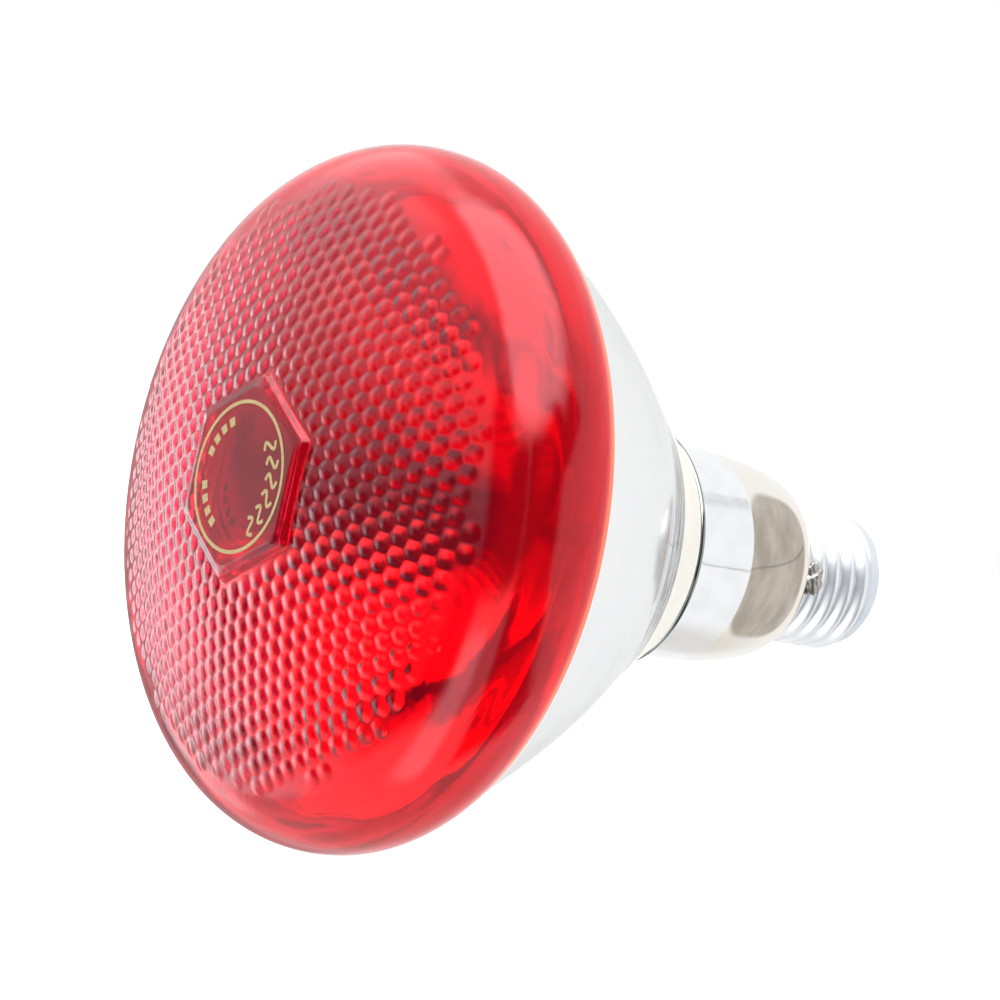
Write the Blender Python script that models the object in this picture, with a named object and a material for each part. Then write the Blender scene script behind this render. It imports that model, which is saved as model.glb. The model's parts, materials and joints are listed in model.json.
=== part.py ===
"""Infrared reflector heat lamp with a red pressed-glass lens and a skirted E27 screw cap.

The lamp's axis lies along Y. The lens faces -Y, the cap points to +Y, and the tip of the
centre contact is the origin. One corner of the hexagonal boss on the lens points to +Z.
Distances along the axis are written as depths behind the front of the lamp.
"""
import math

import bmesh
import bpy
from mathutils import Matrix, Vector

MM = 0.001
GAP = 0.3 * MM                   # clearance between two pieces that touch

# --- driving dimensions of the whole lamp ---------------------------------------------
LENGTH = 142.0 * MM              # front of the lens to the tip of the centre contact
LENS_RADIUS = 61.0 * MM          # largest radius, just in front of the seam
SEGMENTS = 48                    # sides of the large turned pieces
SMALL_SEGMENTS = 16              # sides of the small turned pieces

# --- lens -----------------------------------------------------------------------------
PRINT_THICKNESS = 0.1 * MM       # ink ring, flush with the flat of the boss
PRINT_RADIUS = 12.7 * MM
PRINT_WIDTH = 0.6 * MM
BOSS_CORNER_RADIUS = 17.4 * MM   # centre to corner of the flat hexagon at the front
BOSS_FOOT = 0.7 * MM             # how far the sloped wall of the boss spreads
BOSS_ROOT = 3.2 * MM             # depth at which the wall of the boss ends in the dome
LENS_WALL = 3.5 * MM
RIM_FILLET = 15.0 * MM           # rounded edge between the dome and the widest circle
RIM_DEPTH = 25.4 * MM            # depth of the widest circle
DOME_EDGE_ANGLE = math.radians(24.0)
SEAM_DEPTH = 31.3 * MM           # where the lens is fused to the reflector
SEAM_RADIUS = 58.6 * MM
SEAM_WIDTH = 3.4 * MM
SEAM_ROLL = (28.7 * MM, 60.1 * MM)   # depth and radius of the rolled edge before the seam

# --- reflector ------------------------------------------------------------------------
BOWL_FOCAL = 15.6 * MM           # of the paraboloid that the outside follows
BOWL_END_DEPTH = 67.0 * MM       # the bowl turns into the cone of the neck here
CONE_END_DEPTH = 81.0 * MM
CONE_END_RADIUS = 24.0 * MM
MIRROR_VERTEX_DEPTH = 82.0 * MM
MIRROR_RIM_RADIUS = 55.2 * MM
MIRROR_FILM = 0.3 * MM
MIRROR_HOLE_RADIUS = 12.0 * MM
GROOVE_RADIUS = 22.6 * MM        # the cone is rounded off to this at the groove
NECK_RADIUS = 17.6 * MM
NECK_WALL = 3.0 * MM
NECK_START_DEPTH = 82.6 * MM
NECK_FILLET = 1.0 * MM
NECK_END_DEPTH = 98.0 * MM
BACK_WALL_DEPTH = 87.0 * MM      # rear face of the glass that carries the ferrules
POST_SPACING = 16.0 * MM
POST_RADIUS = 0.8 * MM
POST_HOLE_DEPTH = 70.0 * MM      # the holes through the glass are cut from here
EXHAUST_HOLE_DEPTH = 75.0 * MM

# --- inner parts ----------------------------------------------------------------------
FERRULE_RADIUS = 3.2 * MM
FERRULE_DEPTH = 6.0 * MM
FERRULE_TAPER = 0.7              # share of the ferrule that is cylindrical
FERRULE_END = 0.6                # radius of its rear end over its own radius
EXHAUST_RADIUS = 2.4 * MM
EXHAUST_WALL = 0.9 * MM
EXHAUST_START_DEPTH = 84.0 * MM
EXHAUST_TIP = 5.0 * MM           # length that was drawn down and sealed
EXHAUST_END_DEPTH = 103.0 * MM
FILAMENT_DEPTH = 66.0 * MM
FILAMENT_RADIUS = 1.3 * MM
FILAMENT_WIRE = 0.25 * MM
FILAMENT_TURNS = 9
FILAMENT_LENGTH = 11.6 * MM
BEAD_DEPTH = 74.0 * MM
BEAD_RADIUS = 1.6 * MM
HOOK_WIRE = 0.35 * MM
LEAD_RADIUS = 0.45 * MM
LEAD_PULL = 8.0 * MM             # how far a lead runs straight before it bends
LEAD_MIDDLE_DEPTH = 110.0 * MM   # the centre lead reaches the axis here
LEAD_EDGE = (10.4 * MM, 114.0 * MM)   # x and depth at which the side lead ends
SLEEVE_START_DEPTH = 112.0 * MM
SLEEVE_END_DEPTH = 132.0 * MM
SLEEVE_RADIUS = 1.4 * MM
SLEEVE_BORE = 0.85 * MM

# --- cap ------------------------------------------------------------------------------
SKIRT_LIP_DEPTH = 83.4 * MM
SKIRT_LIP_RADIUS = 22.3 * MM
SKIRT_RADIUS = 19.3 * MM
SKIRT_WALL = 0.7 * MM
SKIRT_LIP_ROLL = 0.5 * MM
SKIRT_LIP_WIDTH = 1.3 * MM       # from the front of the lip to its rear face
SKIRT_LIP_FILLET = 1.3 * MM      # from there to the cylinder
SKIRT_SHOULDER_SWEEP = math.radians(72)
SKIRT_SHOULDER_DEPTH = 99.5 * MM
SKIRT_END_DEPTH = 115.4 * MM
SKIRT_END_RADIUS = 15.7 * MM
SHELL_CREST_RADIUS = 13.2 * MM   # E27 thread, 26.4 mm across
THREAD_PITCH = 3.62 * MM
THREAD_HEIGHT = 1.15 * MM
SHELL_INNER_RADIUS = 11.5 * MM
SHELL_START_DEPTH = 111.0 * MM
THREAD_START_DEPTH = 117.0 * MM
THREAD_END_DEPTH = 135.2 * MM
SHELL_END_DEPTH = 137.6 * MM
SHELL_END_RADIUS = 11.2 * MM
CONTACT_RADIUS = 5.4 * MM
CONTACT_DEPTH = 139.3 * MM
CONTACT_HEIGHT = 1.5 * MM
CONTACT_BORE = 1.6 * MM
INSULATOR_BORE = 2.2 * MM
TIP_RADIUS = 3.0 * MM            # solder on the contact
SIDE_SOLDER_SIZE = (1.0 * MM, 1.7 * MM, 2.2 * MM)
CEMENT_START_DEPTH = 90.4 * MM
CEMENT_END_DEPTH = 97.0 * MM


def clear_scene():
    for item in list(bpy.data.objects):
        bpy.data.objects.remove(item, do_unlink=True)


def material(name, colour, roughness, metallic=0.0, transmission=0.0):
    made = bpy.data.materials.new(name)
    made.use_nodes = True
    shader = made.node_tree.nodes["Principled BSDF"]
    shader.inputs["Base Color"].default_value = (*colour, 1.0)
    shader.inputs["Roughness"].default_value = roughness
    shader.inputs["Metallic"].default_value = metallic
    shader.inputs["Transmission Weight"].default_value = transmission
    made.diffuse_color = (*colour, 1.0)
    return made


def at(depth):
    """The Y coordinate of a depth behind the front of the lamp."""
    return depth - LENGTH


def place(name, mesh_data, look):
    """Adds a mesh to the scene as a named object, shaded smooth with sharp edges kept."""
    piece = bpy.data.objects.new(name, mesh_data)
    bpy.context.scene.collection.objects.link(piece)
    mesh_data.shade_smooth()
    mesh_data.set_sharp_from_angle(angle=math.radians(35))
    mesh_data.materials.append(look)
    return piece


def finished(name, shape, look):
    """Closes a bmesh shape into an object whose faces point out."""
    bmesh.ops.remove_doubles(shape, verts=shape.verts, dist=1e-6)
    bmesh.ops.recalc_face_normals(shape, faces=shape.faces)
    mesh_data = bpy.data.meshes.new(name)
    shape.to_mesh(mesh_data)
    shape.free()
    return place(name, mesh_data, look)


def turned(name, outline, look, segments=SEGMENTS, centre=(0.0, 0.0)):
    """Spins a closed outline of (depth, radius) points round an axis parallel to Y."""
    shape = bmesh.new()
    x, z = centre
    verts = [shape.verts.new((x, at(depth), z + radius)) for depth, radius in outline]
    edges = [shape.edges.new((a, b)) for a, b in zip(verts, verts[1:] + verts[:1])]
    bmesh.ops.spin(
        shape, geom=verts + edges, cent=(x, 0.0, z), axis=(0.0, 1.0, 0.0),
        angle=math.tau, steps=segments, use_merge=True, use_duplicate=False,
    )
    bmesh.ops.dissolve_degenerate(shape, dist=1e-7, edges=shape.edges)
    return finished(name, shape, look)


def arc(centre_depth, centre_radius, radius, start, end, steps):
    """Points of an arc in the (depth, radius) plane; angle 0 faces the front of the lamp."""
    angles = [start + (end - start) * i / steps for i in range(steps + 1)]
    return [
        (centre_depth - radius * math.cos(a), centre_radius + radius * math.sin(a))
        for a in angles
    ]


def wire(name, points, radius, look, resolution=1, smooth=True):
    """A round wire along a route, as a mesh with flat closed ends."""
    route = bpy.data.curves.new(name, "CURVE")
    route.dimensions = "3D"
    route.bevel_depth = radius
    route.bevel_resolution = resolution
    route.use_fill_caps = True
    spline = route.splines.new("POLY")
    spline.points.add(len(points) - 1)
    for knot, point in zip(spline.points, points):
        knot.co = (*point, 1.0)
    piece = bpy.data.objects.new(name, route)
    bpy.context.scene.collection.objects.link(piece)
    spline.use_smooth = smooth
    route.materials.append(look)
    return piece


def bezier(start, start_pull, end_pull, end, steps):
    """Points along a cubic curve between two ends."""
    curve = []
    for i in range(steps + 1):
        t = i / steps
        s = 1.0 - t
        point = (
            start * s**3 + start_pull * 3 * s * s * t + end_pull * 3 * s * t * t + end * t**3
        )
        curve.append(point)
    return curve


def combine(target, guide, operation):
    """Joins a guide to a piece or cuts it out; the guide itself stays hidden."""
    guide.hide_render = True
    guide.display_type = "WIRE"
    step = target.modifiers.new("with_" + guide.name, "BOOLEAN")
    step.operation = operation
    step.solver = "EXACT"
    step.object = guide


def drill(target, name, x, radius, start_depth, end_depth):
    """Drills a round hole along the lamp's axis."""
    outline = [(start_depth, 0.0), (start_depth, radius), (end_depth, radius), (end_depth, 0.0)]
    guide = turned(name, outline, target.active_material, SMALL_SEGMENTS, (x, 0.0))
    combine(target, guide, "DIFFERENCE")


# --- lens -----------------------------------------------------------------------------

def dome_radius_of(fillet_radius, edge_angle):
    """Radius of the sphere that runs on tangent from the rim fillet."""
    return (LENS_RADIUS - RIM_FILLET + fillet_radius * math.sin(edge_angle)) / math.sin(edge_angle)


def dome_outline(fillet_radius, steps):
    """Axis to widest circle, along the dome and round the fillet."""
    sphere = dome_radius_of(fillet_radius, DOME_EDGE_ANGLE)
    rim_centre = LENS_RADIUS - RIM_FILLET
    edge_depth = RIM_DEPTH - fillet_radius * math.cos(DOME_EDGE_ANGLE)
    sphere_centre = edge_depth + sphere * math.cos(DOME_EDGE_ANGLE)
    dome = arc(sphere_centre, 0.0, sphere, 0.0, DOME_EDGE_ANGLE, steps)
    fillet = arc(RIM_DEPTH, rim_centre, fillet_radius, DOME_EDGE_ANGLE, math.pi / 2, 6)
    return dome + fillet[1:]


def make_boss_guide(look):
    """Six-sided block with sloped walls that is joined to the dome."""
    shape = bmesh.new()
    rings = []
    for depth, corner in ((0.0, BOSS_CORNER_RADIUS),
                          (BOSS_ROOT, BOSS_CORNER_RADIUS + BOSS_FOOT)):
        corners = [
            (corner * math.sin(a), at(depth), corner * math.cos(a))
            for a in (math.radians(60 * i) for i in range(6))
        ]
        rings.append([shape.verts.new(point) for point in corners])
    front, back = rings
    shape.faces.new(front)
    shape.faces.new(back[::-1])
    for i in range(6):
        shape.faces.new((front[i], back[i], back[(i + 1) % 6], front[(i + 1) % 6]))
    return finished("boss_guide", shape, look)


def make_lens(look):
    """Pressed-glass cover: a domed shell with a hexagonal boss in its middle."""
    outside = dome_outline(RIM_FILLET, 6)
    inside = dome_outline(RIM_FILLET - LENS_WALL, 6)
    outline = outside + [SEAM_ROLL, (SEAM_DEPTH, SEAM_RADIUS)]
    outline += [(SEAM_DEPTH, SEAM_RADIUS - SEAM_WIDTH)] + inside[::-1]
    lens = turned("lens", outline, look)
    combine(lens, make_boss_guide(look), "UNION")
    inner = PRINT_RADIUS - PRINT_WIDTH / 2 - GAP
    outer = PRINT_RADIUS + PRINT_WIDTH / 2 + GAP
    floor = PRINT_THICKNESS + GAP
    groove = [(-1.0 * MM, inner), (-1.0 * MM, outer), (floor, outer), (floor, inner)]
    combine(lens, turned("print_groove", groove, look), "DIFFERENCE")
    return lens


def make_print(look):
    """Ring printed in gold ink, which lies in a shallow groove of the boss."""
    inner = PRINT_RADIUS - PRINT_WIDTH / 2
    outer = PRINT_RADIUS + PRINT_WIDTH / 2
    outline = [(0.0, inner), (0.0, outer), (PRINT_THICKNESS, outer), (PRINT_THICKNESS, inner)]
    return turned("gold_print", outline, look)


# --- reflector ------------------------------------------------------------------------

def bowl_radius(depth):
    """Outer radius of the bowl."""
    start = SEAM_RADIUS - GAP
    return math.sqrt(start**2 - 4 * BOWL_FOCAL * (depth - SEAM_DEPTH - GAP))


def mirror_radius(depth):
    """Radius of the mirrored paraboloid."""
    reach = MIRROR_VERTEX_DEPTH - SEAM_DEPTH - GAP
    return MIRROR_RIM_RADIUS * math.sqrt((MIRROR_VERTEX_DEPTH - depth) / reach)


def mirror_depth(radius):
    reach = MIRROR_VERTEX_DEPTH - SEAM_DEPTH - GAP
    return MIRROR_VERTEX_DEPTH - reach * (radius / MIRROR_RIM_RADIUS) ** 2


def make_reflector(look):
    """Pressed-glass bowl with the ring-shaped neck that carries the cap."""
    front = SEAM_DEPTH + GAP
    steps = 7
    bowl = [front + (BOWL_END_DEPTH - front) * i / steps for i in range(steps + 1)]
    outline = [(depth, bowl_radius(depth)) for depth in bowl]
    outline += [
        (CONE_END_DEPTH, CONE_END_RADIUS),
        (CONE_END_DEPTH + NECK_FILLET, GROOVE_RADIUS),
        (NECK_START_DEPTH, NECK_RADIUS + NECK_FILLET),
        (NECK_START_DEPTH + NECK_FILLET, NECK_RADIUS),
        (NECK_END_DEPTH, NECK_RADIUS),
        (NECK_END_DEPTH, NECK_RADIUS - NECK_WALL),
        (BACK_WALL_DEPTH, NECK_RADIUS - NECK_WALL),
        (BACK_WALL_DEPTH, 0.0),
    ]
    radii = [MIRROR_RIM_RADIUS * i / 8 for i in range(9)]
    outline += [(mirror_depth(radius), radius) for radius in radii]
    reflector = turned("reflector", outline, look)
    past = BACK_WALL_DEPTH + 1.0 * MM
    for side, x in (("left", -POST_SPACING / 2), ("right", POST_SPACING / 2)):
        drill(reflector, "post_hole_" + side, x, POST_RADIUS + GAP, POST_HOLE_DEPTH, past)
    drill(reflector, "exhaust_hole", 0.0, EXHAUST_RADIUS + GAP, EXHAUST_HOLE_DEPTH, past)
    return reflector


def make_mirror(look):
    """Aluminium film on the inside of the bowl, open round the lead posts."""
    steps = 8
    start = MIRROR_HOLE_RADIUS
    end = MIRROR_RIM_RADIUS - 1.5 * MM
    radii = [start + (end - start) * i / steps for i in range(steps + 1)]
    back = [(mirror_depth(radius) - GAP * 1.6, radius) for radius in radii]
    front = [(depth - MIRROR_FILM * 1.6, radius) for depth, radius in back]
    return turned("mirror_coating", back + front[::-1], look)


# --- inner parts ----------------------------------------------------------------------

def make_ferrule(name, x, look):
    """Metal cup sealed into the back of the glass; the lead post runs through it."""
    front = BACK_WALL_DEPTH + GAP
    bore = POST_RADIUS + GAP
    outline = [
        (front, bore), (front, FERRULE_RADIUS),
        (front + FERRULE_DEPTH * FERRULE_TAPER, FERRULE_RADIUS),
        (front + FERRULE_DEPTH, FERRULE_RADIUS * FERRULE_END), (front + FERRULE_DEPTH, bore),
    ]
    return turned(name, outline, look, SMALL_SEGMENTS, (x, 0.0))


def make_post(name, x, look):
    """Stiff nickel lead from the ferrule to one end of the filament."""
    rear = Vector((x, at(BACK_WALL_DEPTH + FERRULE_DEPTH), 0.0))
    knee = Vector((x, at(FILAMENT_DEPTH + 1.0 * MM), 0.0))
    return wire(name, [rear, knee], POST_RADIUS, look)


def make_exhaust(look):
    """Glass tube through which the bulb was filled, tipped off at its end."""
    inner = EXHAUST_RADIUS - EXHAUST_WALL
    front = EXHAUST_START_DEPTH
    taper = EXHAUST_END_DEPTH - EXHAUST_TIP
    outline = [
        (front, inner), (front, EXHAUST_RADIUS), (taper, EXHAUST_RADIUS),
        (taper + 3.0 * MM, EXHAUST_RADIUS * 0.7), (EXHAUST_END_DEPTH - 0.8 * MM, 0.7 * MM),
        (EXHAUST_END_DEPTH, 0.0), (taper + 1.0 * MM, 0.0), (taper, inner * 0.8),
        (taper - 1.5 * MM, inner),
    ]
    return turned("exhaust_tube", outline, look, SMALL_SEGMENTS)


def make_filament(look):
    """Coil of tungsten wire stretched between the tops of the two posts."""
    steps = 8
    count = FILAMENT_TURNS * steps
    points = []
    for i in range(count + 1):
        angle = math.tau * i / steps
        x = FILAMENT_LENGTH * (i / count - 0.5)
        points.append((
            x,
            at(FILAMENT_DEPTH) - FILAMENT_RADIUS * math.cos(angle),
            FILAMENT_RADIUS * math.sin(angle),
        ))
    return wire("filament", points, FILAMENT_WIRE, look)


def make_bead(look):
    """Glass bead that holds the two posts apart and anchors the hook."""
    half = POST_SPACING / 2 - POST_RADIUS - GAP
    shape = bmesh.new()
    bmesh.ops.create_cone(
        shape, cap_ends=True, segments=SMALL_SEGMENTS, radius1=BEAD_RADIUS,
        radius2=BEAD_RADIUS, depth=2 * half,
        matrix=Matrix.Translation((0.0, at(BEAD_DEPTH), 0.0)) @ Matrix.Rotation(math.pi / 2, 4, "Y"),
    )
    return finished("bridge_bead", shape, look)


def make_hook(look):
    """Molybdenum wire that carries the middle of the filament."""
    root = BEAD_DEPTH - BEAD_RADIUS - GAP
    crook = FILAMENT_DEPTH + FILAMENT_RADIUS + FILAMENT_WIRE + GAP + HOOK_WIRE
    points = [(0.0, at(root), 0.0), (0.0, at(crook), 0.0)]
    return wire("filament_hook", points, HOOK_WIRE, look)


# --- cap ------------------------------------------------------------------------------

def make_skirt(look):
    """Thin metal skirt crimped over the neck, drawn in to the screw shell."""
    cylinder_start = SKIRT_LIP_DEPTH + SKIRT_LIP_WIDTH + SKIRT_LIP_FILLET
    lip_turn = [
        (SKIRT_LIP_DEPTH, SKIRT_LIP_RADIUS - SKIRT_LIP_ROLL),
        (SKIRT_LIP_DEPTH + SKIRT_LIP_ROLL, SKIRT_LIP_RADIUS),
        (cylinder_start - SKIRT_LIP_FILLET, SKIRT_LIP_RADIUS - SKIRT_LIP_ROLL),
        (cylinder_start - SKIRT_LIP_FILLET * 0.7, SKIRT_RADIUS + 0.5 * MM),
        (cylinder_start, SKIRT_RADIUS),
    ]
    outside = lip_turn + shoulder(SKIRT_RADIUS, SKIRT_END_RADIUS, SKIRT_END_DEPTH)
    inside = shoulder(SKIRT_RADIUS - SKIRT_WALL, SKIRT_END_RADIUS - SKIRT_WALL, SKIRT_END_DEPTH)
    inside_lip = [
        (cylinder_start - SKIRT_WALL, SKIRT_RADIUS - SKIRT_WALL),
        (SKIRT_LIP_DEPTH + SKIRT_WALL, SKIRT_RADIUS + 0.2 * MM),
    ]
    return turned("base_skirt", outside + inside[::-1] + inside_lip, look)


def shoulder(start_radius, end_radius, end_depth):
    """Quarter of an ellipse from the skirt's cylinder in to its end."""
    steps = 7
    reach = end_depth - SKIRT_SHOULDER_DEPTH
    drop = start_radius - end_radius
    sweep = SKIRT_SHOULDER_SWEEP
    points = []
    for i in range(steps + 1):
        a = sweep * i / steps
        points.append((
            SKIRT_SHOULDER_DEPTH + reach * math.sin(a) / math.sin(sweep),
            start_radius - drop * (1 - math.cos(a)) / (1 - math.cos(sweep)),
        ))
    return points


def make_cement(look):
    """Ring of capping cement between the neck and the skirt."""
    inner = NECK_RADIUS + GAP
    outer = SKIRT_RADIUS - SKIRT_WALL - GAP
    outline = [(CEMENT_START_DEPTH, inner), (CEMENT_START_DEPTH, outer),
               (CEMENT_END_DEPTH, outer), (CEMENT_END_DEPTH, inner)]
    return turned("base_cement", outline, look)


def thread_radius(depth, turn):
    """Radius of the rolled thread; turn is the angle round the axis in whole turns."""
    wave = 0.5 + 0.5 * math.cos(math.tau * ((depth - THREAD_START_DEPTH) / THREAD_PITCH - turn))
    fade_in = min(1.0, max(0.0, (depth - THREAD_START_DEPTH) / (0.7 * THREAD_PITCH)))
    fade_out = min(1.0, max(0.0, (THREAD_END_DEPTH - depth) / (0.7 * THREAD_PITCH)))
    root = SHELL_CREST_RADIUS - THREAD_HEIGHT
    return root + THREAD_HEIGHT * wave**0.8 * min(fade_in, fade_out)


def make_shell(look):
    """E27 screw shell: a tube with a rolled thread and a drawn-in end."""
    around = 36
    rows = 32
    shape = bmesh.new()
    plain = SHELL_CREST_RADIUS - THREAD_HEIGHT
    depths = [THREAD_START_DEPTH + (THREAD_END_DEPTH - THREAD_START_DEPTH) * i / rows
              for i in range(rows + 1)]
    fixed_front = [(SHELL_START_DEPTH, SHELL_INNER_RADIUS), (SHELL_START_DEPTH, plain)]
    fixed_back = [
        (SHELL_END_DEPTH - 0.6 * MM, SHELL_END_RADIUS + 0.3 * MM),
        (SHELL_END_DEPTH, SHELL_END_RADIUS - 0.3 * MM),
        (SHELL_END_DEPTH - 0.2 * MM, SHELL_END_RADIUS - 0.9 * MM),
        (THREAD_END_DEPTH - 0.6 * MM, SHELL_INNER_RADIUS),
    ]
    columns = []
    for i in range(around):
        turn = i / around
        ring = fixed_front + [(d, thread_radius(d, turn)) for d in depths] + fixed_back
        angle = math.tau * turn
        columns.append([
            shape.verts.new((r * math.sin(angle), at(d), r * math.cos(angle))) for d, r in ring
        ])
    for here, there in zip(columns, columns[1:] + columns[:1]):
        for i in range(len(here)):
            j = (i + 1) % len(here)
            shape.faces.new((here[i], here[j], there[j], there[i]))
    return finished("screw_shell", shape, look)


def make_insulator(look):
    """Black glass cone between the shell and the centre contact."""
    inner = INSULATOR_BORE
    outline = [
        (THREAD_END_DEPTH + 0.2 * MM, inner),
        (THREAD_END_DEPTH - 1.6 * MM, SHELL_INNER_RADIUS - 2.0 * MM),
        (THREAD_END_DEPTH - 1.0 * MM, SHELL_INNER_RADIUS - GAP - 0.2 * MM),
        (SHELL_END_DEPTH - 0.9 * MM, SHELL_END_RADIUS - 1.3 * MM),
        (SHELL_END_DEPTH + 0.3 * MM, SHELL_END_RADIUS - 1.9 * MM),
        (CONTACT_DEPTH - GAP, CONTACT_RADIUS + 1.0 * MM),
        (CONTACT_DEPTH - GAP, inner),
    ]
    return turned("base_insulator", outline, look, 32)


def make_contact(look):
    """Brass eyelet in the middle of the cap."""
    inner = CONTACT_BORE
    back = CONTACT_DEPTH + CONTACT_HEIGHT
    outline = [
        (CONTACT_DEPTH, inner), (CONTACT_DEPTH, CONTACT_RADIUS),
        (back - 0.5 * MM, CONTACT_RADIUS - 0.4 * MM), (back, CONTACT_RADIUS - 1.6 * MM),
        (back, inner),
    ]
    return turned("centre_contact", outline, look, 32)


def make_centre_solder(look):
    """Solder on the eyelet; its top is the end of the lamp."""
    front = CONTACT_DEPTH + CONTACT_HEIGHT + GAP
    top = LENGTH
    outline = [(front, 0.0), (front, TIP_RADIUS), (front + 0.4 * MM, TIP_RADIUS * 0.9),
               (top - 0.25 * MM, TIP_RADIUS * 0.6), (top, TIP_RADIUS / 3), (top, 0.0)]
    return turned("centre_solder", outline, look, SMALL_SEGMENTS)


def make_side_solder(look):
    """Blob that joins the side lead to the shell, just past the skirt's end."""
    shape = bmesh.new()
    spot = Vector((SHELL_CREST_RADIUS + 0.4 * MM, at(SKIRT_END_DEPTH + 2.2 * MM), 0.0))
    size = Matrix.Diagonal((*SIDE_SOLDER_SIZE, 1.0))
    bmesh.ops.create_icosphere(
        shape, subdivisions=2, radius=1.0, matrix=Matrix.Translation(spot) @ size
    )
    return finished("side_solder", shape, look)


def make_leads(copper, sleeve_look):
    """The two wires from the ferrules to the contact and to the shell."""
    rear = BACK_WALL_DEPTH + FERRULE_DEPTH + 2 * GAP
    reach = Vector((0.0, LEAD_PULL, 0.0))
    left = Vector((-POST_SPACING / 2, at(rear), 0.0))
    middle = Vector((0.0, at(LEAD_MIDDLE_DEPTH), 0.0))
    end = Vector((0.0, at(CONTACT_DEPTH + 1.0 * MM), 0.0))
    centre_route = bezier(left, left + reach, middle - reach * 0.6, middle, 8) + [end]
    wire("centre_lead_wire", centre_route, LEAD_RADIUS, copper)
    right = Vector((POST_SPACING / 2, at(rear), 0.0))
    edge_x, edge_depth = LEAD_EDGE
    edge = Vector((edge_x, at(edge_depth), 0.0))
    side_route = bezier(right, right + reach, edge - reach, edge, 8)
    wire("side_lead_wire", side_route, LEAD_RADIUS, copper)
    outline = [(SLEEVE_START_DEPTH, SLEEVE_BORE), (SLEEVE_START_DEPTH, SLEEVE_RADIUS),
               (SLEEVE_END_DEPTH, SLEEVE_RADIUS), (SLEEVE_END_DEPTH, SLEEVE_BORE)]
    turned("wire_sleeve", outline, sleeve_look, SMALL_SEGMENTS)


def build():
    clear_scene()
    red_glass = material("red_glass", (0.75, 0.01, 0.03), 0.06, transmission=1.0)
    clear_glass = material("clear_glass", (0.92, 0.94, 0.93), 0.04, transmission=1.0)
    aluminium = material("aluminium_film", (0.93, 0.93, 0.94), 0.08, metallic=1.0)
    gold = material("gold_ink", (0.83, 0.66, 0.28), 0.45, metallic=0.3)
    nickel = material("nickel", (0.62, 0.60, 0.56), 0.25, metallic=1.0)
    tungsten = material("tungsten", (0.30, 0.30, 0.32), 0.40, metallic=1.0)
    skirt_metal = material("skirt_metal", (0.84, 0.82, 0.80), 0.12, metallic=1.0)
    shell_metal = material("shell_metal", (0.88, 0.88, 0.87), 0.22, metallic=1.0)
    cement = material("cement", (0.62, 0.57, 0.48), 0.9)
    black_glass = material("black_glass", (0.02, 0.02, 0.025), 0.15)
    brass = material("brass", (0.78, 0.60, 0.30), 0.30, metallic=1.0)
    solder = material("solder", (0.55, 0.54, 0.52), 0.45, metallic=1.0)
    copper = material("copper", (0.80, 0.45, 0.30), 0.35, metallic=1.0)
    fibre = material("fibre_sleeve", (0.85, 0.82, 0.74), 0.8)

    make_lens(red_glass)
    make_print(gold)
    make_reflector(clear_glass)
    make_mirror(aluminium)
    for side, x in (("left", -POST_SPACING / 2), ("right", POST_SPACING / 2)):
        make_ferrule("ferrule_" + side, x, nickel)
        make_post("lead_post_" + side, x, nickel)
    make_exhaust(clear_glass)
    make_filament(tungsten)
    make_bead(clear_glass)
    make_hook(tungsten)
    make_skirt(skirt_metal)
    make_cement(cement)
    make_shell(shell_metal)
    make_insulator(black_glass)
    make_contact(brass)
    make_centre_solder(solder)
    make_side_solder(solder)
    make_leads(copper, fibre)


build()
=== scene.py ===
"""Looks of the infrared reflector heat lamp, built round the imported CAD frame.

The lamp's axis lies along Y: the lens faces -Y and the cap's contact is at the origin.
Outlines of turned pieces are lists of (depth, radius) in millimetres, where depth is
measured back from the front of the lamp.
"""
import json
import math

import bmesh
import bpy
import numpy as np
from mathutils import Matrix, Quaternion, Vector


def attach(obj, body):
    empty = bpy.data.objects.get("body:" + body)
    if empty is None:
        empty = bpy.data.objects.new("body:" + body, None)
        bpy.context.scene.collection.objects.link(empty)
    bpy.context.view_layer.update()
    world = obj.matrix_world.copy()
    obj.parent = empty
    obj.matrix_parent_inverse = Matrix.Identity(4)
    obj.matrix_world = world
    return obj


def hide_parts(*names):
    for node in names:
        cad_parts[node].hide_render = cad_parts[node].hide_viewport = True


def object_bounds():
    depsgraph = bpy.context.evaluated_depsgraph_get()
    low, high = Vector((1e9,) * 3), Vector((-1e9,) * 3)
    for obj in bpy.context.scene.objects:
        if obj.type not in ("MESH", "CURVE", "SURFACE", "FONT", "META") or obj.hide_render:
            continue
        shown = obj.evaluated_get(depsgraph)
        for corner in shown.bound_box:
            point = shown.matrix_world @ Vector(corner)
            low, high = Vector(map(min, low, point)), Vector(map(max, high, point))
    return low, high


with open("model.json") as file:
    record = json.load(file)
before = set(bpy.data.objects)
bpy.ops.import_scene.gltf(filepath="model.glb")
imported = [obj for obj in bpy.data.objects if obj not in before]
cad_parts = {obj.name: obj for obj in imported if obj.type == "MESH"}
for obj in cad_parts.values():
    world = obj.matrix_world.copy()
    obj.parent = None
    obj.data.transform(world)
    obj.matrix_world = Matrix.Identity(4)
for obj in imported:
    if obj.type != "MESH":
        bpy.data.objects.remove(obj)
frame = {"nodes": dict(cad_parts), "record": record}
cad_low, cad_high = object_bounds()

MM = 0.001
FRONT = cad_low.y                      # Y of the front of the lamp
BODY = "root"
ROUND = 192                            # sides of the large turned pieces
FINE = 64                              # sides of the small turned pieces
LENS_SIDES = 720
SHELL_SIDES = 144
PINHOLE = 0.02                         # radius that closes a turned piece on the axis

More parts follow.
